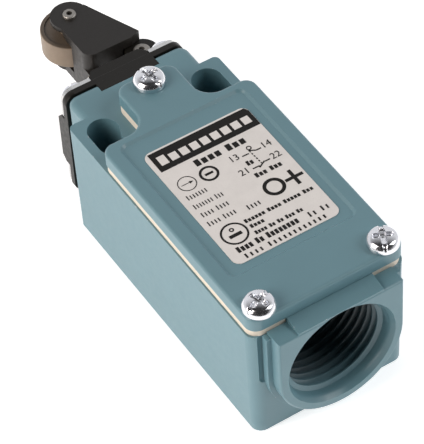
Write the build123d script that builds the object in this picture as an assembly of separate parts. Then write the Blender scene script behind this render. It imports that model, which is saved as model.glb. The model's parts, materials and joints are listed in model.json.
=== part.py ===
from build123d import *
import os

# Limit switch in the 30 mm wide EN 50047 size, with a roller lever on a plunger head.
# Millimetres.  The mounting face is z = 0 and +Z goes out through the cover.
# +Y runs along the body from the conduit entry to the roller.  Lengths along Y are
# written from the conduit end face, and "save" moves the origin to the middle of the
# two mounting holes.

# --- housing ---
body_w = 30.0            # width at the mounting face; the casting draft widens it upward
draft = 0.8              # degrees
body_l = 58.1            # conduit end face to the end of the ears
rim_z = 24.9             # height of the gasket face and of the ears
corner_r = 2.0
ear_corner_r = 0.7
neck_w = 23.8            # square end that carries the head
neck_end = 64.7
floor_z = 2.2            # inside of the back wall
cavity_w = 24.4
cavity_y0 = 11.2
cavity_y1 = 45.0
axis_z = 12.6            # plunger axis, middle of the square head

# --- mounting holes, each under a longer pocket in the ear ---
hole_y = 53.7            # hole line, from the conduit end face
hole_pitch = 20.0
hole_r = 2.15
hole_len = 10.0
pocket_pitch = 21.4
pocket_y = 52.5
pocket_w = 5.7
pocket_len = 9.2
# Web left standing in the inner side of each pocket, right-hand one.
web_outline = [(7.4, 54.3), (7.7, 54.0), (8.75, 51.0), (8.75, 46.0), (7.4, 46.0)]

# --- conduit entry, M20 x 1.5 ---
conduit_z = 14.8
conduit_r = 9.95         # wall radius behind the thread crests
mouth_r = 10.7
mouth_depth = 1.5
boss_out = 3.7           # boss face, ahead of the end face
boss_r = 12.3
collar_out = 1.4
collar_r = 13.2
boss_top = 25.3
arch_w = 16.8            # thickened wall over the thread
arch_back = 26.35
arch_front = 25.6
arch_end = 9.0
groove_x = 13.4          # hollows beside the corner pillars
groove_y = -0.9
groove_r = 1.2
groove_end = 14.0

# --- cover and gasket ---
gasket_t = 1.6
cover_t = 2.8
cover_w = 30.4
cover_y0 = -0.2
cover_y1 = 47.2
tongue_w = 11.7
tongue_end = 58.1
cover_r = 2.2
web_r = 3.8              # inner corners between bar and tongue
panel_w = 25.4           # recess for the rating plate
panel_y0 = 9.7
panel_y1 = 45.7
panel_depth = 0.45
plate_w = 20.9
plate_l = 29.9
plate_x = 0.2
plate_y = 26.75
plate_t = 0.15
cover_screws_at = [(-12.15, 2.2), (12.15, 2.2), (0.0, 55.7)]

# --- head ---
head_w = 24.4            # square flange
flange_t = 1.3
key_w = 11.9
key_depth = 2.1
key_h = 5.4
lobe_w = 12.0
lobe_out = 2.3           # lobes ahead of the flange
lobe_h = 3.9
lobe_step = 0.3          # upper lobe below the flange edge
spigot_r = 7.0
retainer_t = 0.9
head_screw_off = 9.2

# --- lever, measured from the roller axis and the pivot axis ---
roller_x = 2.2
roller_y = 88.7
roller_r = 5.75
roller_t = 4.9
pivot_x = 9.4
pivot_y = 75.2
pivot_r = 1.25
lever_t = 10.8
cheek_t = 2.1
nose_r = 3.65
nose_step = 1.1
lever_left = roller_x - 3.0
lever_base = roller_y - 11.4
foot_t = 2.4             # nub that presses on the plunger
lug_r = 3.2
lug_t = 1.75
lug_gap = 2.7            # slot between the two pivot lugs
play = 0.05              # side play of the lever tongue in that slot

# --- plunger ---
plunger_r = 2.4
plunger_tip = 77.2
spindle_r = 1.5
spindle_end = 43.5
collar_y0 = 60.4
collar_y1 = 62.2
bush_r = 3.6
fit = 0.04               # radial clearance of a running fit

# --- contact block ---
block_w = 19.6
block_y0 = 20.5
block_y1 = 44.5
block_z = 16.0
ledge_y0 = 15.4
ledge_z = 6.0
block_screw_x = 7.3
block_screw_y = 17.7
slide_w = 5.2
slide_y0 = 30.0
slide_y1 = 43.4
slide_z0 = 8.0
slide_z1 = 15.4
channel_y0 = 22.4
nc_y = 37.6              # moving bridge of the contacts 21-22
no_y = 33.2              # moving bridge of the contacts 13-14
bridge_l = 13.6
bridge_t = 0.6
contact_gap = 3.7        # just over the full travel
terminal_x = 6.9
terminal_t = 0.8
earth_x = -8.6
earth_y = 13.3
earth_post_z = 8.0

origin = (0, hole_y, 0)
cover_z0 = rim_z + gasket_t
cover_z1 = cover_z0 + cover_t
flange_y1 = neck_end + flange_t
retainer_y1 = flange_y1 + retainer_t
lobe_y1 = flange_y1 + lobe_out
lever_z0 = axis_z - lever_t / 2
lever_z1 = axis_z + lever_t / 2
pocket_z0 = lever_z0 + cheek_t
pocket_z1 = lever_z1 - cheek_t


def save(shape, node):
    export_step(shape.moved(Location((-origin[0], -origin[1], -origin[2]))), f"parts/{node}.step")


def block(x0, x1, y0, y1, z0, z1):
    """Box given by its six faces."""
    return Pos((x0 + x1) / 2, (y0 + y1) / 2, (z0 + z1) / 2) * Box(x1 - x0, y1 - y0, z1 - z0)


def rod_z(x, y, r, z0, z1):
    return Pos(x, y, (z0 + z1) / 2) * Cylinder(r, z1 - z0)


def rod_y(x, z, r, y0, y1):
    return Pos(x, (y0 + y1) / 2, z) * Rot(90, 0, 0) * Cylinder(r, y1 - y0)


def slot_z(x, y, width, length, z0, z1):
    """Round-ended slot along Y."""
    half = (length - width) / 2
    ends = rod_z(x, y - half, width / 2, z0, z1) + rod_z(x, y + half, width / 2, z0, z1)
    return ends + block(x - width / 2, x + width / 2, y - half, y + half, z0, z1)


def upright_edges(shape):
    return shape.edges().filter_by(Axis.Z)


def pan_screw(head_r, head_h, shank_r, length):
    """Cross-recess pan head screw, seat at z = 0 and the shank along -Z."""
    head = rod_z(0, 0, head_r, 0, head_h)
    head = fillet(head.edges().sort_by(Axis.Z)[-1], head_h * 0.55)
    arm = head_r * 1.15
    slit = head_r * 0.2
    deep = head_h * 0.45
    cross = block(-arm / 2, arm / 2, -slit / 2, slit / 2, deep, head_h)
    cross += block(-slit / 2, slit / 2, -arm / 2, arm / 2, deep, head_h)
    return head - cross + rod_z(0, 0, shank_r, -length, 0)


def t_outline(half_w, y0, y1, half_tongue, y2, r_out, r_in, z0, z1):
    """Plate with a wide bar and a narrower tongue toward +Y, all corners rounded."""
    bar = block(-half_w, half_w, y0, y1, z0, z1)
    bar = fillet(upright_edges(bar), r_out)
    tongue = block(-half_tongue, half_tongue, y1 - 6, y2, z0, z1)
    tongue = fillet(upright_edges(tongue).group_by(Axis.Y)[-1], r_out)
    webs = block(-half_tongue - r_in, half_tongue + r_in, y1 - 1, y1 + r_in, z0, z1)
    for side in (-1, 1):
        webs -= rod_z(side * (half_tongue + r_in), y1 + r_in, r_in, z0, z1)
    return bar + tongue + webs


def u_outline(half_w, top, y0, y1):
    """Conduit boss section: round below the conduit axis, straight-sided above it."""
    half_round = rod_y(0, conduit_z, half_w, y0, y1) - block(-20, 20, y0 - 1, y1 + 1, conduit_z, 40)
    return half_round + block(-half_w, half_w, y0, y1, conduit_z, top)


def make_housing():
    outline = Rectangle(body_w, body_l)
    outline = fillet(outline.vertices().group_by(Axis.Y)[0], corner_r)
    outline = fillet(outline.vertices().group_by(Axis.Y)[-1], ear_corner_r)
    shell = extrude(Pos(0, body_l / 2, 0) * outline, rim_z, taper=-draft)
    neck = extrude(Pos(0, neck_end / 2 + 20, 0) * Rectangle(neck_w, neck_end), rim_z, taper=-draft)
    neck -= block(-20, 20, neck_end, neck_end + 40, -1, rim_z + 1)
    neck -= block(-20, 20, -20, 40, -1, rim_z + 1)
    corners = neck.faces().sort_by(Axis.Y)[-1].edges().sort_by(Axis.X)
    neck = fillet([corners[0], corners[-1]], corner_r)
    # The long side edges of the neck are eased on top.
    eased = neck.faces().sort_by(Axis.Z)[-1].edges().sort_by(Axis.X)
    neck = fillet([eased[0], eased[-1]], 1.3)
    shell += neck
    # Shallow hollows beside the corner pillars of the conduit end.
    for side in (-1, 1):
        shell -= rod_z(side * groove_x, groove_y, groove_r, groove_end, rim_z + 1)
        shell -= Pos(side * groove_x, groove_y, groove_end) * Sphere(groove_r)
    # Conduit boss in two steps, with the thickened wall over the thread.
    boss = u_outline(boss_r, boss_top, -boss_out, 0)
    boss = fillet(boss.faces().sort_by(Axis.Y)[0].edges(), 0.4)
    boss += u_outline(collar_r, rim_z, -collar_out, 0)
    arch = block(-arch_w / 2, arch_w / 2, 0, arch_end, rim_z - 3, arch_back)
    tip = -boss_out + 0.1
    profile = [(0, rim_z - 1), (0, arch_back), (tip, arch_front), (tip, rim_z - 1)]
    slope = Plane.YZ * Polygon(*profile, align=None)
    arch += extrude(slope, arch_w / 2, both=True)
    shell += boss + arch
    # Conduit bore with its lead-in.
    shell -= rod_y(0, conduit_z, conduit_r, -boss_out - 1, cavity_y0 + 1)
    cone = Pos(0, -boss_out + mouth_depth / 2, conduit_z) * Rot(90, 0, 0)
    shell -= cone * Cone(conduit_r, mouth_r, mouth_depth)
    # Inside of the box.
    inside = block(-cavity_w / 2, cavity_w / 2, cavity_y0, cavity_y1, floor_z, rim_z + 1)
    inside = fillet(upright_edges(inside), corner_r)
    shell -= inside
    shell += rod_z(earth_x, earth_y, 1.95, floor_z - 0.5, earth_post_z)
    # Plunger bore: spindle hole, spring chamber and the head socket.
    shell -= rod_y(0, axis_z, spindle_r + 0.15, cavity_y1 - 1, 51)
    shell -= rod_y(0, axis_z, 3.7, 50, neck_end + 1)
    # Key slot and seal groove in the end of the neck.
    shell -= block(-key_w / 2 - 0.05, key_w / 2 + 0.05, neck_end - key_depth - 0.1, neck_end + 1,
                   rim_z - key_h - 0.1, rim_z + 2)
    groove = rod_y(0, axis_z, 6.3, neck_end - 0.8, neck_end + 1)
    shell -= groove - rod_y(0, axis_z, 5.0, neck_end - 0.8, neck_end + 1)
    for side in (-1, 1):
        pocket = slot_z(side * pocket_pitch / 2, pocket_y, pocket_w, pocket_len, hole_len, rim_z + 1)
        web = Polygon(*[(side * x, y) for x, y in web_outline], align=None)
        shell -= pocket - extrude(web, rim_z)
        shell -= rod_z(side * hole_pitch / 2, hole_y, hole_r, -1, hole_len + 1)
        shell -= rod_z(side * block_screw_x, block_screw_y, 1.5, 0.8, floor_z + 1)
        for level in (-head_screw_off, head_screw_off):
            shell -= rod_y(side * head_screw_off, axis_z + level, 1.25, neck_end - 5.2, neck_end + 1)
    for x, y in cover_screws_at:
        shell -= rod_z(x, y, 1.5, rim_z - 6.2, rim_z + 1)
    shell -= rod_z(earth_x, earth_y, 1.25, floor_z + 0.6, earth_post_z + 1)
    return shell


def make_gasket():
    seal = t_outline(
        body_w / 2, 0.1, cover_y1 - 0.1, tongue_w / 2, tongue_end - 0.3, cover_r, web_r, rim_z, cover_z0
    )
    hole = block(-cavity_w / 2, cavity_w / 2, cavity_y0 + 0.9, cavity_y1, rim_z - 1, cover_z0 + 1)
    seal -= fillet(upright_edges(hole), corner_r)
    seal -= block(-arch_w / 2 - 0.1, arch_w / 2 + 0.1, -1, arch_end + 0.1, rim_z - 1, cover_z0 + 1)
    for side in (-1, 1):
        seal -= slot_z(side * pocket_pitch / 2, pocket_y, pocket_w, pocket_len, rim_z - 1, cover_z0 + 1)
    for x, y in cover_screws_at:
        seal -= rod_z(x, y, 1.6, rim_z - 1, cover_z0 + 1)
    return seal


def make_cover():
    lid = t_outline(
        cover_w / 2, cover_y0, cover_y1, tongue_w / 2, tongue_end, cover_r, web_r, cover_z0, cover_z1
    )
    lid = fillet(lid.faces().sort_by(Axis.Z)[-1].edges(), 0.6)
    panel = Pos(0, (panel_y0 + panel_y1) / 2, cover_z1) * RectangleRounded(
        panel_w, panel_y1 - panel_y0, 1.6
    )
    lid -= extrude(panel, -panel_depth, taper=50)
    # Locating rib that drops into the housing.
    half = cavity_w / 2 - 0.3
    rib = block(-half, half, cavity_y0 + 1.2, cavity_y1 - 0.3, rim_z - 0.9, cover_z0 + 0.1)
    rib = fillet(upright_edges(rib), corner_r)
    gap = block(-half + 1.2, half - 1.2, cavity_y0 + 2.4, cavity_y1 - 1.5, rim_z - 2, cover_z0)
    lid += rib - gap
    for x, y in cover_screws_at:
        lid -= rod_z(x, y, 1.6, cover_z0 - 1, cover_z1 + 1)
    return lid


def make_cover_screws():
    screw = pan_screw(2.9, 2.1, 1.45, cover_t + gasket_t + 5.6)
    return Compound([Pos(x, y, cover_z1) * screw for x, y in cover_screws_at])


def make_rating_plate():
    base = Pos(plate_x, plate_y, cover_z1 - panel_depth) * RectangleRounded(plate_w, plate_l, 1.5)
    return extrude(base, plate_t)


def make_head():
    """Moulded head: flange, index key, four side lobes, spigot and the two pivot lugs."""
    half = head_w / 2
    flange = block(-half, half, neck_end, flange_y1, axis_z - half, axis_z + half)
    head = fillet(flange.edges().filter_by(Axis.Y), corner_r)
    head += block(-key_w / 2, key_w / 2, neck_end - key_depth, neck_end, rim_z - key_h, rim_z - 0.05)
    lobe = block(-lobe_w / 2, lobe_w / 2, flange_y1 - 0.1, lobe_y1, half - lobe_h, half)
    tips = lobe.faces().sort_by(Axis.Y)[-1].edges().filter_by(Axis.Z)
    lobe = chamfer(tips, 1.2)
    for turn in range(4):
        head += Pos(0, 0, axis_z) * Rot(0, 90 * turn, 0) * lobe
    top = axis_z + half - lobe_step
    head -= block(-half, half, flange_y1, lobe_y1 + 1, top, top + 1)
    head += rod_y(0, axis_z, spigot_r, flange_y1 - 0.1, lobe_y1)
    for low in (axis_z - lug_gap / 2 - lug_t, axis_z + lug_gap / 2):
        lug = block(pivot_x - lug_r, pivot_x + lug_r - 0.2, flange_y1 - 0.1, pivot_y, low, low + lug_t)
        head += lug + rod_z(pivot_x, pivot_y, lug_r, low, low + lug_t)
    head -= rod_y(0, axis_z, bush_r, neck_end - 5, lobe_y1 + 1)
    head -= rod_z(pivot_x, pivot_y, pivot_r, 0, rim_z)
    for side in (-1, 1):
        for level in (-head_screw_off, head_screw_off):
            head -= rod_y(side * head_screw_off, axis_z + level, 1.35, neck_end - 1, flange_y1 + 1)
    return head


def make_head_seal():
    ring = rod_y(0, axis_z, 6.25, neck_end - 0.8, neck_end)
    return ring - rod_y(0, axis_z, 5.05, neck_end - 1, neck_end + 1)


def make_retainer():
    """Stamped plate around the lobes, open on the side of the pivot lugs."""
    half = head_w / 2 - 0.15
    plate = block(-half, half, flange_y1, retainer_y1, axis_z - half, axis_z + half)
    plate = fillet(plate.edges().filter_by(Axis.Y), 2.2)
    reach = head_w / 2 - lobe_h - 0.1
    window = block(-lobe_w / 2 - 0.1, lobe_w / 2 + 0.1, flange_y1 - 1, retainer_y1 + 1, reach, reach + 9)
    for turn in range(4):
        plate -= Pos(0, 0, axis_z) * Rot(0, 90 * turn, 0) * window
    plate -= rod_y(0, axis_z, spigot_r + 0.1, flange_y1 - 1, retainer_y1 + 1)
    plate -= block(4, 20, flange_y1 - 1, retainer_y1 + 1, axis_z - 3.6, axis_z + 3.6)
    for side in (-1, 1):
        for level in (-head_screw_off, head_screw_off):
            plate -= rod_y(side * head_screw_off, axis_z + level, 1.35, flange_y1 - 1, retainer_y1 + 1)
    return plate


def make_head_screws():
    screw = Rot(-90, 0, 0) * pan_screw(2.5, 1.7, 1.25, flange_t + retainer_t + 5.0)
    spots = [(sx * head_screw_off, sz * head_screw_off) for sx in (-1, 1) for sz in (-1, 1)]
    return Compound([Pos(x, retainer_y1, axis_z + z) * screw for x, z in spots])


def lever_outline():
    """Plan of the lever seen along Z: round nose, straight left edge, broad base."""
    left = lever_left
    base = lever_base
    with BuildSketch() as plan:
        with BuildLine():
            Polyline(
                (left, roller_y),
                (left, base),
                (roller_x + 6.4, base),
                (roller_x + 8.4, base + 0.7),
                (roller_x + 3.66, roller_y + 1.0),
                (left, roller_y),
            )
        make_face()
        with Locations((roller_x, roller_y)):
            Circle(nose_r)
    return plan.sketch


def make_lever():
    base = lever_base
    body = Pos(0, 0, lever_z0) * extrude(lever_outline(), lever_t)
    corner = body.edges().filter_by(Axis.Z).sort_by_distance((lever_left, base, axis_z))[0]
    body = fillet(corner, 2.0)
    # The top of the upper cheek is cut back along the left of the nose.
    back = Polygon(
        (lever_left - 3, roller_y + 5), (roller_x - 1.2, roller_y + 5),
        (lever_left, roller_y - 3.5), (lever_left - 3, roller_y - 3.5), align=None,
    )
    body -= Pos(0, 0, lever_z1 - nose_step) * extrude(back, nose_step + 1)
    # Roller pocket between the two cheeks.
    pocket = rod_z(roller_x, roller_y, roller_r + 0.5, pocket_z0, pocket_z1)
    pocket += block(roller_x - 9, roller_x + 9, roller_y, roller_y + 9, pocket_z0, pocket_z1)
    body -= pocket
    # Square nub in the rounded corner, over the plunger.
    body += block(lever_left, lever_left + 3, base, base + 3, axis_z - foot_t / 2, axis_z + foot_t / 2)
    # Room for the lugs, then the tongue that runs between them.
    for low in (pocket_z0, axis_z + lug_gap / 2 - play):
        body -= rod_z(pivot_x, pivot_y, lug_r + 0.3, low, low + (lever_t - 2 * cheek_t - lug_gap) / 2 + play)
    body -= block(pivot_x - 1, pivot_x + 6, base - 4, base + 1.2, lever_z0 - 1, pocket_z0)
    tongue = rod_z(pivot_x, pivot_y, 2.8, axis_z - lug_gap / 2 + play, axis_z + lug_gap / 2 - play)
    tongue += block(pivot_x - 2.8, pivot_x + 0.9, pivot_y, base + 1.5, axis_z - lug_gap / 2 + play,
                    axis_z + lug_gap / 2 - play)
    body += tongue
    body -= rod_z(pivot_x, pivot_y, pivot_r + fit, 0, 40)
    body -= rod_z(roller_x, roller_y, 1.1, 0, 40)
    return body


def make_roller():
    wheel = rod_z(roller_x, roller_y, roller_r, axis_z - roller_t / 2, axis_z + roller_t / 2)
    wheel = fillet(wheel.edges(), 0.25)
    for side in (-1, 1):
        face = axis_z + side * roller_t / 2
        dish = rod_z(roller_x, roller_y, roller_r - 0.75, face - 0.25, face + 0.25)
        wheel -= dish - rod_z(roller_x, roller_y, 2.2, face - 0.5, face + 0.5)
    return wheel - rod_z(roller_x, roller_y, 1.1 + fit, 0, 40)


def tube_rivet(x, y, r_out, r_in, z0, z1, head_r, head_t):
    """Tubular rivet along Z with a rolled rim at both ends."""
    rivet = rod_z(x, y, r_out, z0 - 0.6, z1 + 0.6) + rod_z(x, y, head_r, z0 - head_t, z0)
    rim = rod_z(x, y, head_r, z1, z1 + head_t)
    rivet += fillet(rim.edges().sort_by(Axis.Z)[-1], head_t * 0.6)
    return rivet - rod_z(x, y, r_in, z0 - 5, z1 + 5)


def make_plunger():
    pin = rod_y(0, axis_z, plunger_r, collar_y1, plunger_tip)
    pin = fillet(pin.faces().sort_by(Axis.Y)[-1].edges(), 1.6)
    pin += rod_y(0, axis_z, 3.3, collar_y0, collar_y1)
    return pin + rod_y(0, axis_z, spindle_r, spindle_end, collar_y0)


def ring_y(r_out, r_in, y0, y1):
    return rod_y(0, axis_z, r_out, y0, y1) - rod_y(0, axis_z, r_in, y0 - 1, y1 + 1)


def coil_y(radius, wire, y0, y1, turns):
    """Round-wire compression spring along Y, centred on the plunger axis."""
    rise = y1 - y0 - wire
    helix = Helix(pitch=rise / turns, height=rise, radius=radius)
    section = Plane(origin=helix @ 0, z_dir=helix % 0) * Circle(wire / 2)
    return Pos(0, y0 + wire / 2, axis_z) * Rot(-90, 0, 0) * sweep(section, path=helix)


def make_contact_base():
    body = block(-block_w / 2, block_w / 2, block_y0, block_y1, floor_z, block_z)
    body += block(-block_w / 2, block_w / 2, ledge_y0, block_y0 + 1, floor_z, ledge_z)
    half = slide_w / 2 + fit
    body -= block(-half, half, channel_y0, block_y1 + 1, slide_z0 - fit, block_z + 1)
    for side in (-1, 1):
        body -= block(side * 5.2 - 2.7, side * 5.2 + 2.7, 27.2, 40.4, 9.4, block_z + 1)
        body -= rod_z(side * block_screw_x, block_screw_y, 1.6, 0, ledge_z + 1)
        for y in (24.0, 42.4):
            body -= rod_z(side * terminal_x, y, 1.25, block_z - 5.5, block_z + 1)
    return body


def make_slide():
    carrier = block(-slide_w / 2, slide_w / 2, slide_y0, slide_y1, slide_z0, slide_z1)
    for y in (nc_y, no_y):
        carrier -= block(-slide_w, slide_w, y - bridge_t / 2 - 1.5, y + bridge_t / 2, 10.9, 14.1)
    return carrier - rod_y(0, axis_z, 1.3, slide_y0 - 1, slide_y0 + 1.2)


def make_bridge(y, side):
    """Double-break contact bridge; "side" is the way its silver tips face along Y."""
    strip = block(-bridge_l / 2, bridge_l / 2, y - bridge_t / 2, y + bridge_t / 2, 11.0, 14.0)
    for x in (-5.6, 5.6):
        face = y + side * bridge_t / 2
        strip += rod_y(x, 12.5, 0.9, min(face, face + side * 0.5), max(face, face + side * 0.5))
    return strip


def make_leaf(y):
    """Flat pressure spring behind a bridge, inside the carrier window."""
    return block(-2.0, 2.0, y - bridge_t / 2 - 1.4, y - bridge_t / 2 - 0.05, 11.6, 13.4)


def make_fixed_contact(side, y_tip, facing, y_plate):
    """Brass terminal: a plate on the block, a leg into the pocket and a silver tip."""
    leg_near = y_tip - facing * 0.5
    leg_far = leg_near - facing * 0.8
    y0, y1 = min(leg_near, leg_far), max(leg_near, leg_far)
    far = y_plate + (-2.2 if y_plate < y0 else 2.0)
    top = block_z + terminal_t
    x0, x1 = sorted((side * 4.4, side * 7.6))
    part = block(x0, x1, y0, y1, 10.6, top)
    px0, px1 = sorted((side * 4.4, side * 9.4))
    part += block(px0, px1, min(far, y0), max(far, y1), block_z, top)
    tip0, tip1 = sorted((leg_near, y_tip))
    part += rod_y(side * 5.6, 12.5, 0.9, tip0, tip1)
    return part - rod_z(side * terminal_x, y_plate, 1.3, block_z - 1, top + 1)


def make_contact_cap():
    """Lid over the carrier channel, with a barrier between the two rows of terminals."""
    top = block_z + 0.9
    cap = block(-4.1, 4.1, block_y0, block_y1, block_z, top)
    return cap + block(-0.6, 0.6, block_y0, block_y1, top, top + 3.2)


def terminal_spots():
    return [(side * terminal_x, y) for side in (-1, 1) for y in (24.0, 42.4)]


def make_washers(spots, z0, across):
    washers = []
    for x, y in spots:
        ring = block(x - across / 2, x + across / 2, y - across / 2, y + across / 2, z0, z0 + 0.7)
        washers.append(ring - rod_z(x, y, 1.6, z0 - 1, z0 + 2))
    return Compound(washers)


def make_screws(spots, z_seat, head_r, head_h, shank_r, length):
    screw = pan_screw(head_r, head_h, shank_r, length)
    return Compound([Pos(x, y, z_seat) * screw for x, y in spots])


os.makedirs("parts", exist_ok=True)

washer_top = block_z + terminal_t + 0.7
travel_seat = nc_y + bridge_t / 2 + 0.5

save(make_housing(), "housing")
save(make_gasket(), "cover_gasket")
save(make_cover(), "cover")
save(make_cover_screws(), "cover_screws")
save(make_rating_plate(), "rating_plate")

save(make_head(), "head")
save(make_head_seal(), "head_seal")
save(make_retainer(), "head_retainer")
save(make_head_screws(), "head_screws")
save(ring_y(bush_r, plunger_r + fit, neck_end - 2.3, flange_y1 + 0.4), "plunger_bush")
save(ring_y(bush_r, plunger_r + 0.02, flange_y1 + 0.4, lobe_y1 + 0.6), "plunger_wiper")

lug_z0 = axis_z - lug_gap / 2 - lug_t
lug_z1 = axis_z + lug_gap / 2 + lug_t
save(tube_rivet(pivot_x, pivot_y, pivot_r, 0.55, lug_z0, lug_z1, 1.6, 0.45), "lever_pivot_pin")
save(make_lever(), "lever")
save(make_roller(), "roller")
save(tube_rivet(roller_x, roller_y, 1.1, 0.55, lever_z0, lever_z1, 1.25, 0.6), "roller_rivet")

save(make_plunger(), "plunger")
save(coil_y(2.6, 0.6, 50.02, collar_y0 - 0.02, 6), "plunger_spring")

save(make_contact_base(), "contact_base")
save(make_contact_cap(), "contact_cap")
save(make_slide(), "contact_slide")
save(coil_y(1.0, 0.4, channel_y0 + 0.02, slide_y0 + 1.18, 7), "slide_spring")
save(make_bridge(nc_y, 1), "bridge_21_22")
save(make_bridge(no_y, -1), "bridge_13_14")
save(make_leaf(nc_y), "leaf_21_22")
save(make_leaf(no_y), "leaf_13_14")
for side, name in ((-1, "21"), (1, "22")):
    save(make_fixed_contact(side, travel_seat + 0.02, -1, 42.4), f"terminal_{name}")
for side, name in ((-1, "13"), (1, "14")):
    save(make_fixed_contact(side, no_y - bridge_t / 2 - 0.5 - contact_gap, 1, 24.0), f"terminal_{name}")
save(make_washers(terminal_spots(), block_z + terminal_t, 4.6), "terminal_washers")
save(make_screws(terminal_spots(), washer_top, 2.4, 1.8, 1.25, 6.5), "terminal_screws")
block_screw_spots = [(side * block_screw_x, block_screw_y) for side in (-1, 1)]
save(make_screws(block_screw_spots, ledge_z, 2.5, 1.8, 1.45, 5.0), "block_screws")
save(make_washers([(earth_x, earth_y)], earth_post_z, 4.0), "earth_washer")
save(make_screws([(earth_x, earth_y)], earth_post_z + 0.7, 2.0, 1.6, 1.2, 4.6), "earth_screw")
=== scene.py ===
import json
import math

import bmesh
import bpy
from mathutils import Matrix, Vector


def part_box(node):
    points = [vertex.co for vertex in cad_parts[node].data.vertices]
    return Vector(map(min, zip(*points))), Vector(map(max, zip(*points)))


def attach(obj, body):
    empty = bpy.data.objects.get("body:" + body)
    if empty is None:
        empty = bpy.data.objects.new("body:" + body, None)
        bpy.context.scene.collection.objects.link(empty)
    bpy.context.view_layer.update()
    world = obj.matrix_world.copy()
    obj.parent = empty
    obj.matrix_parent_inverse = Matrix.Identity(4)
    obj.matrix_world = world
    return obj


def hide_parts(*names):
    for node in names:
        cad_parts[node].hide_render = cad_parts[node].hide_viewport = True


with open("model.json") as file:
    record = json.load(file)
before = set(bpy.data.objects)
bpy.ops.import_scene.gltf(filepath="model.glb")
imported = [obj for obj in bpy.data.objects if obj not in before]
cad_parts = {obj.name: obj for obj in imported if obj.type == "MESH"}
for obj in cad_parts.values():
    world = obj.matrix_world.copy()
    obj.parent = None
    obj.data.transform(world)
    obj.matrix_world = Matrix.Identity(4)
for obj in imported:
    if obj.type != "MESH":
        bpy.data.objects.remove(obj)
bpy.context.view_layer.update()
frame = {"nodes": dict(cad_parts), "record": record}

MM = 0.001
nodes = frame["nodes"]
scene = bpy.context.scene
scene.view_settings.view_transform = "Standard"
BORE = next(m for m in frame["record"]["mounts"] if m["name"] == "conduit_entry")
MOUTH_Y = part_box("housing")[0].y      # face of the conduit boss
CHIP = (0.52, 0.55, 0.56)             # bare metal in a chip of the paint


# ---------------------------------------------------------------- materials

class Shader:
    """One procedural material: a Principled shader and the nodes that feed it."""

    def __init__(self, name, **fixed):
        self.mat = bpy.data.materials.new(name)
        self.mat.use_nodes = True
        self.tree = self.mat.node_tree
        self.bsdf = self.tree.nodes["Principled BSDF"]
        self.coord = self.add("ShaderNodeTexCoord").outputs["Object"]
        for key, value in fixed.items():
            self.bsdf.inputs[key.replace("_", " ")].default_value = value

    def add(self, kind, **props):
        node = self.tree.nodes.new(kind)
        for key, value in props.items():
            setattr(node, key, value)
        return node

    def join(self, source, socket):
        self.tree.links.new(source, socket)

    def stretched(self, scale):
        """Object coordinates scaled unevenly, for brushed or streaked textures."""
        mapping = self.add("ShaderNodeMapping")
        mapping.inputs["Scale"].default_value = scale
        self.join(self.coord, mapping.inputs["Vector"])
        return mapping.outputs["Vector"]

    def noise(self, size_mm, detail=2.0, rough=0.5, vector=None):
        """Noise whose features are about size_mm across."""
        node = self.add("ShaderNodeTexNoise")
        node.inputs["Scale"].default_value = 1 / (size_mm * MM)
        node.inputs["Detail"].default_value = detail
        node.inputs["Roughness"].default_value = rough
        self.join(vector or self.coord, node.inputs["Vector"])
        return node.outputs["Fac"]

    def ramp(self, source, *stops):
        """Colour or grey ramp through (position, value) stops."""
        node = self.add("ShaderNodeValToRGB")
        elements = node.color_ramp.elements
        while len(elements) < len(stops):
            elements.new(0.5)
        for element, (place, value) in zip(elements, stops):
            element.position = place
            element.color = (value, value, value, 1) if isinstance(value, float) else (*value, 1)
        self.join(source, node.inputs["Fac"])
        return node.outputs["Color"]

    def feed(self, socket, value):
        """Links a socket to an input, or sets a constant on it."""
        if isinstance(value, bpy.types.NodeSocket):
            self.join(value, socket)
        else:
            socket.default_value = (*value, 1) if isinstance(value, tuple) else value

    def mix(self, factor, a, b):
        """Mix of two colours; factor, a and b are sockets or constants."""
        node = self.add("ShaderNodeMix", data_type="RGBA")
        for name, value in (("Factor", factor), ("A", a), ("B", b)):
            self.feed(node.inputs[name], value)
        return node.outputs["Result"]

    def math(self, kind, a, b=0.0):
        node = self.add("ShaderNodeMath", operation=kind)
        for socket, value in zip(node.inputs, (a, b)):
            self.feed(socket, value)
        return node.outputs["Value"]

    def edges(self, radius_mm):
        """0 on flats, rising toward 1 on convex and concave edges."""
        bevel = self.add("ShaderNodeBevel", samples=6)
        bevel.inputs["Radius"].default_value = radius_mm * MM
        flat = self.add("ShaderNodeNewGeometry").outputs["Normal"]
        dot = self.add("ShaderNodeVectorMath", operation="DOT_PRODUCT")
        self.join(bevel.outputs["Normal"], dot.inputs[0])
        self.join(flat, dot.inputs[1])
        return self.math("SUBTRACT", 1.0, dot.outputs["Value"])

    def bore_shade_mask(self):
        """Mask of the painted shade in the conduit bore: rises from 0 at the mouth to 1 deep inside it."""
        reach, length = 10.15 * MM, 16 * MM
        axes = self.add("ShaderNodeSeparateXYZ")
        self.join(self.coord, axes.inputs["Vector"])
        x, y, z = axes.outputs
        height = self.math("SUBTRACT", z, BORE["pos_m"][2])
        square = self.math("ADD", self.math("POWER", x, 2.0), self.math("POWER", height, 2.0))
        inside = self.math("LESS_THAN", self.math("SQRT", square), reach)
        depth = self.math("DIVIDE", self.math("SUBTRACT", y, MOUTH_Y), length)
        deep = self.ramp(depth, (0.08, 0.0), (0.42, 1.0), (0.99, 1.0), (1.0, 0.0))
        return self.math("MULTIPLY", inside, deep)

    def bump(self, height, depth_mm):
        """Adds a bump layer over the ones already there."""
        node = self.add("ShaderNodeBump")
        node.inputs["Strength"].default_value = 1.0
        node.inputs["Distance"].default_value = depth_mm * MM
        self.join(height, node.inputs["Height"])
        normal = self.bsdf.inputs["Normal"]
        if normal.is_linked:
            self.join(normal.links[0].from_socket, node.inputs["Normal"])
        self.join(node.outputs["Normal"], normal)

    def colour(self, socket):
        self.join(socket, self.bsdf.inputs["Base Color"])

    def rough(self, socket):
        self.join(socket, self.bsdf.inputs["Roughness"])


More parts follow.
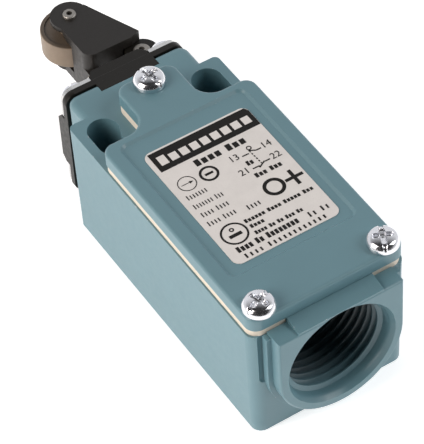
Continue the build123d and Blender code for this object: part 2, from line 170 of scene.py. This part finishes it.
def tint(colour, gain):
    return tuple(min(1.0, c * gain) for c in colour)


def paint(name, colour):
    """Stoved paint on a die casting: orange peel, faint mottling, a painted highlight on the edges, painted
    shade deep in the threaded bore.
    """
    s = Shader(name, IOR=1.58)
    mottled = s.mix(s.noise(5.0, 3.0), tint(colour, 0.96), tint(colour, 1.04))
    grained = s.mix(s.ramp(s.noise(0.12, 2.0), (0.3, 0.0), (0.7, 0.2)), mottled, tint(colour, 0.85))
    corner = s.edges(0.3)
    # Painted highlight: edges and corners are lightened toward 1.6 times the paint colour.
    painted = s.mix(s.ramp(corner, (0.02, 0.0), (0.35, 0.42)), grained, tint(colour, 1.6))
    # Small chips down to the metal, on the edges only.
    chips = s.math("MULTIPLY", s.ramp(s.noise(1.1, 3.0), (0.655, 0.0), (0.68, 1.0)),
                   s.ramp(corner, (0.06, 0.0), (0.12, 1.0)))
    painted = s.mix(chips, painted, CHIP)
    # Painted shade: the threaded bore darkens from its mouth inward to a dark teal.
    bore_shade = s.mix(s.noise(0.8, 3.0), (0.04, 0.062, 0.07), (0.06, 0.1, 0.118))
    s.colour(s.mix(s.bore_shade_mask(), painted, bore_shade))
    s.rough(s.ramp(s.noise(1.2, 3.0), (0.3, 0.36), (0.7, 0.41)))
    s.bump(s.noise(0.5, 2.0), 0.004)
    s.bump(s.noise(0.12, 1.0), 0.003)
    return s.mat


def plastic(name, colour, rough, grain_mm=0.25, depth_mm=0.01, spread=0.12, edge_highlight_gain=2.0, ior=1.48):
    """Moulded plastic with a sparked grain, uneven gloss and a painted highlight on the edges."""
    s = Shader(name, IOR=ior)
    shade = s.mix(s.noise(4.0, 3.0), tint(colour, 1 - spread), tint(colour, 1 + spread))
    # Painted highlight: the colour is lightened toward the edges.
    edge = s.ramp(s.edges(0.2), (0.05, 0.0), (0.6, 0.4))
    s.colour(s.mix(edge, shade, tint(colour, edge_highlight_gain)))
    s.rough(s.ramp(s.noise(grain_mm * 3, 2.0), (0.3, rough - 0.06), (0.7, rough + 0.08)))
    s.bump(s.noise(grain_mm, 3.0, 0.6), depth_mm)
    return s.mat


def metal(name, colour, rough, streak=(1, 1, 1), streak_mm=0.3):
    """Bright metal: fine drawing lines, uneven polish and a slight stain."""
    s = Shader(name, Metallic=1.0)
    drawn = s.noise(streak_mm, 3.0, 0.6, s.stretched(streak))
    s.colour(s.mix(s.ramp(s.noise(2.5, 4.0), (0.35, 0.0), (0.75, 1.0)), colour, tint(colour, 0.85)))
    s.rough(s.ramp(drawn, (0.3, rough * 0.8), (0.75, rough * 1.5)))
    s.bump(drawn, 0.004)
    return s.mat


def turned_nylon(name, colour):
    """Turned roller: pale running surface, flat faces darkened to half as painted shade, with turning rings.
    """
    s = Shader(name, IOR=1.5)
    lo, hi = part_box("roller")
    middle = (lo + hi) / 2
    normal = s.add("ShaderNodeSeparateXYZ")
    s.join(s.add("ShaderNodeNewGeometry").outputs["Normal"], normal.inputs["Vector"])
    # Painted shade: faces whose normal points up or down are darkened to half the colour.
    face_shade = s.ramp(s.math("ABSOLUTE", normal.outputs["Z"]), (0.6, 0.0), (0.9, 1.0))
    shade = s.mix(s.noise(1.5, 3.0), tint(colour, 0.9), tint(colour, 1.12))
    s.colour(s.mix(face_shade, shade, tint(colour, 0.5)))
    mapping = s.add("ShaderNodeMapping")
    mapping.inputs["Location"].default_value = (-middle.x, -middle.y, 0)
    s.join(s.coord, mapping.inputs["Vector"])
    rings = s.add("ShaderNodeTexWave", wave_type="RINGS", rings_direction="Z")
    rings.inputs["Scale"].default_value = 1 / (1.2 * MM)
    rings.inputs["Distortion"].default_value = 0.4
    s.join(mapping.outputs["Vector"], rings.inputs["Vector"])
    s.rough(s.ramp(s.noise(0.5, 2.0), (0.3, 0.36), (0.7, 0.5)))
    s.bump(rings.outputs["Fac"], 0.01)
    s.bump(s.noise(0.2, 2.0), 0.006)
    return s.mat


def rubber(name, colour, rough=0.6):
    """Soft seal material: matt, with flow marks and dust."""
    s = Shader(name, IOR=1.45, Specular_IOR_Level=0.4)
    dust = s.ramp(s.noise(0.25, 3.0), (0.55, 0.0), (0.8, 0.5))
    base = s.mix(s.noise(2.0, 3.0), tint(colour, 0.92), tint(colour, 1.06))
    s.colour(s.mix(dust, base, tint(colour, 0.82)))
    s.rough(s.ramp(s.noise(0.6, 2.0), (0.3, rough - 0.06), (0.7, rough + 0.08)))
    s.bump(s.noise(0.3, 3.0), 0.012)
    return s.mat


TEAL = (0.128, 0.250, 0.292)
look = {
    "body_paint": paint("paint", TEAL),
    "gasket_rubber": rubber("gasket_rubber", (0.76, 0.68, 0.57)),
    "screw_zinc": metal("zinc", (0.86, 0.87, 0.9), 0.16, streak_mm=0.25),
    "plate_print": rubber("label_film", (0.76, 0.73, 0.70), 0.45),
    "head_plastic": plastic("head_plastic", (0.009, 0.008, 0.006), 0.34, edge_highlight_gain=6.0, ior=1.36),
    "seal_rubber": rubber("seal_rubber", (0.03, 0.03, 0.03)),
    "stainless": metal("stainless", (0.72, 0.72, 0.71), 0.22, (1, 8, 1)),
    "rivet_steel": metal("rivet_steel", (0.42, 0.4, 0.37), 0.45),
    "lever_plastic": plastic("lever_plastic", (0.017, 0.015, 0.013), 0.36, edge_highlight_gain=4.0, ior=1.42),
    "roller_nylon": turned_nylon("roller_nylon", (0.25, 0.19, 0.135)),
    "plunger_steel": metal("plunger_steel", (0.75, 0.74, 0.72), 0.12, (8, 1, 8)),
    "bush_bronze": metal("bush_bronze", (0.65, 0.45, 0.25), 0.3),
    "block_phenolic": plastic("block_phenolic", (0.05, 0.045, 0.04), 0.5, 0.4, 0.02),
    "cap_nylon": plastic("cap_nylon", (0.55, 0.53, 0.48), 0.45),
    "slide_nylon": plastic("slide_nylon", (0.6, 0.57, 0.5), 0.42),
    "contact_brass": metal("contact_brass", (0.72, 0.55, 0.27), 0.25, (6, 1, 1)),
    "spring_steel": metal("spring_steel", (0.5, 0.49, 0.48), 0.25),
}

slot_of = {p["node"]: p["material_slot"] for p in frame["record"]["subparts"]}


def dress(obj, mat):
    """Puts one material over every face of a CAD node or a piece."""
    if not obj.material_slots:
        obj.data.materials.append(mat)
    for entry in obj.material_slots:
        entry.link = "OBJECT"
        entry.material = mat


for node, obj in nodes.items():
    dress(obj, look[slot_of[node]])


def soften(node, width_mm):
    """Rounds the moulded edges of a CAD node with modifiers only."""
    obj = nodes[node]
    weld = obj.modifiers.new("weld", "WELD")
    weld.merge_threshold = 0.002 * MM
    bevel = obj.modifiers.new("round", "BEVEL")
    bevel.width = width_mm * MM
    bevel.segments = 2
    bevel.limit_method = "ANGLE"
    bevel.angle_limit = math.radians(32)
    bevel.miter_outer = "MITER_ARC"
    normals = obj.modifiers.new("normals", "WEIGHTED_NORMAL")
    normals.keep_sharp = True


# ---------------------------------------------------------------- mesh helpers

def new_piece(name, bm, mat, body, smooth=True):
    """Turns a bmesh into a shaded piece that rides on a body."""
    bmesh.ops.recalc_face_normals(bm, faces=bm.faces)
    mesh = bpy.data.meshes.new(name)
    bm.to_mesh(mesh)
    bm.free()
    if smooth:
        mesh.shade_smooth()
        mesh.set_sharp_from_angle(angle=math.radians(38))
    obj = bpy.data.objects.new(name, mesh)
    scene.collection.objects.link(obj)
    dress(obj, mat)
    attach(obj, body)
    return obj


def circle(steps):
    """Angles of one turn, in equal steps."""
    return [2 * math.pi * i / steps for i in range(steps)]


def tube_faces(bm, rings, closed_path=False):
    """Skins a list of equal vertex rings."""
    count = len(rings[0])
    pairs = zip(rings, rings[1:] + rings[:1]) if closed_path else zip(rings, rings[1:])
    for low, high in pairs:
        for i in range(count):
            j = (i + 1) % count
            bm.faces.new((low[i], low[j], high[j], high[i]))


def prism(bm, outline, z0, z1):
    """Closed prism over a convex or simple plan outline, all in millimetres."""
    low = [bm.verts.new((x * MM, y * MM, z0 * MM)) for x, y in outline]
    high = [bm.verts.new((x * MM, y * MM, z1 * MM)) for x, y in outline]
    tube_faces(bm, [low, high])
    bm.faces.new(low[::-1])
    bm.faces.new(high)


def ring(bm, x, y, r_out, r_in, z0, z1, steps=40):
    """Closed flat ring round (x, y)."""
    rings = []
    for r, z in ((r_in, z0), (r_out, z0), (r_out, z1), (r_in, z1)):
        points = [Vector((x + r * math.cos(t), y + r * math.sin(t), z)) for t in circle(steps)]
        rings.append([bm.verts.new(p * MM) for p in points])
    tube_faces(bm, rings, closed_path=True)


def bar(x0, y0, x1, y1):
    return [(x0, y0), (x1, y0), (x1, y1), (x0, y1)]


def stroke(xa, ya, xb, yb, width):
    """Outline of a straight stroke between two points."""
    length = math.hypot(xb - xa, yb - ya)
    nx, ny = -(yb - ya) / length * width / 2, (xb - xa) / length * width / 2
    return [(xa + nx, ya + ny), (xa - nx, ya - ny), (xb - nx, yb - ny), (xb + nx, yb + ny)]


# ---------------------------------------------------------------- conduit thread

def conduit_thread():
    """M20 x 1.5 thread crests inside the plain bore of the housing."""
    pitch, wall, crest, steps = 1.5, 10.03, 9.2, 72
    root_half, crest_half = 0.62, 0.11
    axis_z = BORE["pos_m"][2] / MM
    y0, y1 = MOUTH_Y / MM + 1.8, MOUTH_Y / MM + 14.2
    total = int((y1 - y0) / pitch * steps)
    bm = bmesh.new()
    rings = []
    for i in range(total + 1):
        angle = 2 * math.pi * i / steps
        y = y0 + pitch * i / steps
        grow = min(1.0, i / (steps * 0.4), (total - i) / (steps * 0.4))
        tip = wall - 0.1 - (wall - 0.1 - crest) * grow
        loop = []
        for r, dy in ((wall, -root_half), (tip, -crest_half), (tip, crest_half), (wall, root_half)):
            x, z = r * math.cos(angle), axis_z + r * math.sin(angle)
            loop.append(bm.verts.new((x * MM, (y + dy) * MM, z * MM)))
        rings.append(loop)
    tube_faces(bm, rings)
    bm.faces.new(rings[0])
    bm.faces.new(rings[-1][::-1])
    new_piece("conduit_thread", bm, look["body_paint"], "body")


# ---------------------------------------------------------------- screws

def smoothstep(a, b, x):
    t = min(1.0, max(0.0, (x - a) / (b - a)))
    return t * t * (3 - 2 * t)


def pan_head(bm, place, head_r, head_h, shank_r, length):
    """Pan head with a cross recess and a full-width slot, on a plain shank, along +Z before "place"."""
    rings_out, steps = 34, 96
    edge = head_r * 0.1

    def top(r, t):
        """Height of the head at polar (r, t)."""
        dome = head_h * (1 - 0.3 * (r / head_r) ** 2.4)
        fall = max(0.0, (r - (head_r - 3 * edge)) / (3 * edge))
        dome -= head_h * 0.3 * fall ** 2.5
        x, y = r * math.cos(t), r * math.sin(t)
        arm = head_r * (0.15 - 0.03 * r / head_r)
        reach = 1 - smoothstep(head_r * 0.5, head_r * 0.64, r)
        cross = max(1 - smoothstep(arm, arm + 0.09, abs(x)), 1 - smoothstep(arm, arm + 0.09, abs(y)))
        well = 1 - smoothstep(head_r * 0.2, head_r * 0.27, r)
        slope = 1 - 0.45 * r / (head_r * 0.64)
        deep = head_h * 0.5 * max(cross * reach * slope, well * 0.9)
        slot = (1 - smoothstep(head_r * 0.09, head_r * 0.09 + 0.09, abs(y))) * head_h * 0.16
        return dome - max(deep, slot)

    turn = circle(steps)
    rings = []
    for k in range(1, rings_out + 1):
        r = head_r * k / rings_out
        rings.append([place @ Vector((r * math.cos(t), r * math.sin(t), top(r, t))) for t in turn])
    centre = bm.verts.new(place @ Vector((0, 0, top(0, 0))) * MM)
    for r, z in ((head_r, 0.12), (head_r - 0.12, 0), (shank_r, 0), (shank_r, -length)):
        rings.append([place @ Vector((r * math.cos(t), r * math.sin(t), z)) for t in turn])
    made = [[bm.verts.new(p * MM) for p in one] for one in rings]
    tube_faces(bm, made)
    for i in range(steps):
        bm.faces.new((centre, made[0][i], made[0][(i + 1) % steps]))
    bm.faces.new(made[-1])


def cover_screw_heads():
    lo, hi = [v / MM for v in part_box("cover_screws")]
    head_r, head_h = 2.9, 2.1
    seat = hi.z - head_h
    spots = [(lo.x + head_r, lo.y + head_r, 20), (hi.x - head_r, lo.y + head_r, 65), (0, hi.y - head_r, 102)]
    bm = bmesh.new()
    for x, y, turn in spots:
        place = Matrix.Translation((x, y, seat)) @ Matrix.Rotation(math.radians(turn), 4, "Z")
        pan_head(bm, place, head_r, head_h, 1.45, 9.5)
    piece = new_piece("cover_screw_set", bm, look["screw_zinc"], "body")
    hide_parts("cover_screws")


def head_screw_heads():
    lo, hi = [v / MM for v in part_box("head_screws")]
    head_r, head_h = 2.5, 1.7
    seat = hi.y - head_h
    bm = bmesh.new()
    columns, rows = (lo.x + head_r, hi.x - head_r), (lo.z + head_r, hi.z - head_r)
    for n, (x, z) in enumerate([(a, b) for a in columns for b in rows]):
        place = Matrix.Translation((x, seat, z)) @ Matrix.Rotation(math.radians(-90), 4, "X")
        pan_head(bm, place @ Matrix.Rotation(0.4 + n, 4, "Z"), head_r, head_h, 1.25, 7.2)
    piece = new_piece("head_screw_set", bm, look["screw_zinc"], "body")
    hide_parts("head_screws")


# ---------------------------------------------------------------- printing on the rating plate

INK_T = 0.03      # thickness of the printed film, mm


def place_print(bm):
    """Moves marks drawn round the plate's middle on to the plate."""
    lo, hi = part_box("rating_plate")
    bmesh.ops.translate(bm, verts=bm.verts, vec=((lo.x + hi.x) / 2, (lo.y + hi.y) / 2, hi.z))


def greeked(bm, x0, x1, y, height, words, bold=True, z0=0.0, z1=INK_T):
    """A line of print stood for by plain blocks: "words" gives the letters of each word."""
    step = (x1 - x0) / (sum(words) + 0.7 * (len(words) - 1))
    wide = step * (0.72 if bold else 0.34)
    low = y - height / 2
    x = x0
    for count in words:
        for n in range(count):
            tall = height if n == 0 else height * 0.8
            prism(bm, bar(x, low, x + wide, low + tall), z0, z1)
            x += step
        x += 0.7 * step


def add_digits(bm, text, x, y):
    """Digits of the type that Blender carries, laid flat."""
    data = bpy.data.curves.new("digits", "FONT")
    data.body = text
    data.size = 2.0
    data.align_x = "CENTER"
    data.align_y = "CENTER"
    data.extrude = INK_T / 2
    data.resolution_u = 3
    holder = bpy.data.objects.new("digits", data)
    mesh = bpy.data.meshes.new_from_object(holder)
    mesh.transform(Matrix.Scale(MM, 4) @ Matrix.Translation((x, y, INK_T / 2)))
    bm.from_mesh(mesh)
    bpy.data.objects.remove(holder)
    bpy.data.meshes.remove(mesh)


def plate_ink():
    """All marks in millimetres from the middle of the plate."""
    bm = bmesh.new()

    def solid(outline):
        prism(bm, outline, 0, INK_T)

    def round_mark(x, y, r_out, r_in, steps=40):
        ring(bm, x, y, r_out, r_in, 0, INK_T, steps)

    # Header band, cut back at its upper right to the plate's round corner.
    solid([(-9.6, 9.85), (10.4, 9.85), (10.4, 13.7), (9.9, 14.55), (-9.6, 14.55)])
    # Ring mark and the direct-opening symbol, an arrow in a circle.
    round_mark(-3.1, 5.1, 1.75, 1.3)
    solid(stroke(-3.9, 5.1, -2.3, 5.1, 0.5))
    round_mark(-7.4, 5.25, 1.7, 1.54)
    solid(stroke(-8.5, 5.25, -6.9, 5.25, 0.14))
    solid([(-6.9, 4.95), (-6.15, 5.25), (-6.9, 5.55)])
    # Contact diagram: actuator, dashed link, closing and opening contact.
    round_mark(5.6, 6.2, 0.5, 0.3, 20)
    for k in range(6):
        x, y = 5.3 + k * 0.04, 5.6 - k * 0.66
        solid(stroke(x, y, x + 0.03, y - 0.42, 0.2))
    for contact in (
        (3.6, 5.15, 4.9, 5.1), (5.2, 5.75, 6.4, 5.05), (6.4, 5.05, 7.35, 5.05),
        (3.55, 1.75, 4.9, 1.72), (4.7, 1.4, 6.2, 2.2), (6.2, 2.05, 7.2, 2.05),
    ):
        solid(stroke(*contact, 0.26))
    # A ring, a plus and a ringed bar in place of approval marks.
    round_mark(4.3, -3.7, 2.0, 1.35)
    solid(stroke(6.5, -3.75, 10.0, -3.75, 0.65))
    solid(stroke(8.25, -5.6, 8.25, -4.08, 0.65))
    solid(stroke(8.25, -3.42, 8.25, -1.9, 0.65))
    round_mark(-6.9, -8.75, 2.45, 2.1)
    solid(stroke(-8.1, -9.1, -5.7, -9.1, 0.7))
    round_mark(-6.9, -7.8, 0.45, 0.2, 20)
    # Lines of print: ends, middle, height, and the letters of each word.
    for x0, x1, y, height, words in (
        (-3.9, 6.4, 8.3, 1.55, (4, 3)), (3.3, 4.7, 3.3, 1.1, (2,)), (3.0, 8.4, 0.15, 1.05, (3, 3)),
        (-4.1, 9.6, -7.5, 0.85, (6, 4, 5, 3)), (-3.9, -1.1, -8.95, 0.85, (4,)),
        (-4.0, 5.5, -10.55, 0.85, (4, 2, 2, 3, 2)), (-8.6, 3.6, -12.15, 1.3, (4, 2, 8)),
    ):
        greeked(bm, x0, x1, y, height, words)
    for x0, x1, y, height, words in (
        (-9.2, -5.1, 2.35, 1.1, (7,)), (-9.3, -3.4, 0.0, 1.1, (7, 3)), (-9.2, -3.7, -2.25, 1.1, (4, 4)),
        (-9.4, -3.7, -4.55, 1.1, (4, 4)), (-2.0, 0.8, -5.15, 1.1, (4,)),
        (5.5, 9.9, -12.3, 1.15, (2, 2)), (-8.1, 8.3, -13.95, 1.05, (4, 12)),
    ):
        greeked(bm, x0, x1, y, height, words, bold=False)
    # The contact numbers that every such switch carries.
    for text, x, y in (("13", 2.2, 5.55), ("14", 8.5, 5.3), ("21", 2.0, 1.95), ("22", 8.5, 2.25)):
        add_digits(bm, text, x, y)
    place_print(bm)
    ink = plastic("ink", (0.009, 0.008, 0.007), 0.45, 0.12, 0.003, ior=1.3)
    new_piece("plate_marks", bm, ink, "body", smooth=False)

    bm = bmesh.new()
    greeked(bm, -8.7, 10.1, 12.15, 2.2, (9,), z0=INK_T, z1=2 * INK_T)
    place_print(bm)
    new_piece("plate_header_blocks", bm, look["plate_print"], "body", smooth=False)


# ---------------------------------------------------------------- floor, light, camera

def floor():
    half, drop = 3.0, 0.00005      # the floor lies just under the mounting face
    mesh = bpy.data.meshes.new("floor")
    mesh.from_pydata([(x, y, 0) for x, y in bar(-half, -half, half, half)], [], [(0, 1, 2, 3)])
    paper = bpy.data.objects.new("floor", mesh)
    scene.collection.objects.link(paper)
    paper.location.z = -drop
    s = Shader("floor_paper", Roughness=0.9, Emission_Strength=0.62)
    s.colour(s.mix(s.noise(40.0, 3.0), (0.78, 0.78, 0.78), (0.8, 0.8, 0.8)))
    s.bsdf.inputs["Emission Color"].default_value = (1, 1, 1, 1)
    paper.data.materials.append(s.mat)


def studio():
    """Surroundings that are bright behind the object and dark toward the front."""
    world = bpy.data.worlds.new("studio")
    scene.world = world
    world.use_nodes = True
    tree = world.node_tree
    coord = tree.nodes.new("ShaderNodeTexCoord")
    front = tree.nodes.new("ShaderNodeVectorMath")
    front.operation = "DOT_PRODUCT"
    front.inputs[1].default_value = (-0.33, -0.58, 0.75)
    shade = tree.nodes.new("ShaderNodeValToRGB")
    for element, place, grey in zip(shade.color_ramp.elements, (0.05, 0.6), (0.8, 0.03)):
        element.position = place
        element.color = (grey, grey, grey * 1.03, 1)
    tree.links.new(coord.outputs["Generated"], front.inputs[0])
    tree.links.new(front.outputs["Value"], shade.inputs["Fac"])
    tree.links.new(shade.outputs["Color"], tree.nodes["Background"].inputs["Color"])


def softbox(name, place, width, height, watts, tone=(1, 1, 1)):
    """Rectangular light aimed at the object."""
    data = bpy.data.lights.new(name, "AREA")
    data.shape = "RECTANGLE"
    data.size = width
    data.size_y = height
    data.energy = watts
    data.color = tone
    lamp = bpy.data.objects.new(name, data)
    lamp.location = place
    aim = Vector((0, 0, 0.01)) - Vector(place)
    lamp.rotation_euler = aim.to_track_quat("-Z", "Y").to_euler()
    scene.collection.objects.link(lamp)


def camera():
    data = bpy.data.cameras.new("camera")
    data.sensor_width = 36.0
    data.lens = 231.5
    data.clip_start = 0.05
    data.clip_end = 20.0
    cam = bpy.data.objects.new("camera", data)
    forward = Vector((0.3291, 0.5788, -0.7461)).normalized()
    right = Vector((0.8426, -0.5366, -0.0446))
    right = (right - forward * right.dot(forward)).normalized()
    turn = Matrix((right, right.cross(forward), -forward)).transposed()
    cam.matrix_world = Matrix.Translation((-0.1646, -0.30612, 0.38314)) @ turn.to_4x4()
    scene.collection.objects.link(cam)
    scene.camera = cam


floor()
studio()
softbox("left_box", (-0.6, 0.0, 0.36), 0.4, 0.5, 3.9, (1, 0.92, 0.87))
softbox("right_box", (0.45, -0.35, 0.5), 0.3, 0.4, 2.0)
camera()

for node, width in (("housing", 0.22), ("cover", 0.15), ("lever", 0.25), ("head", 0.15)):
    soften(node, width)
conduit_thread()
cover_screw_heads()
head_screw_heads()
plate_ink()
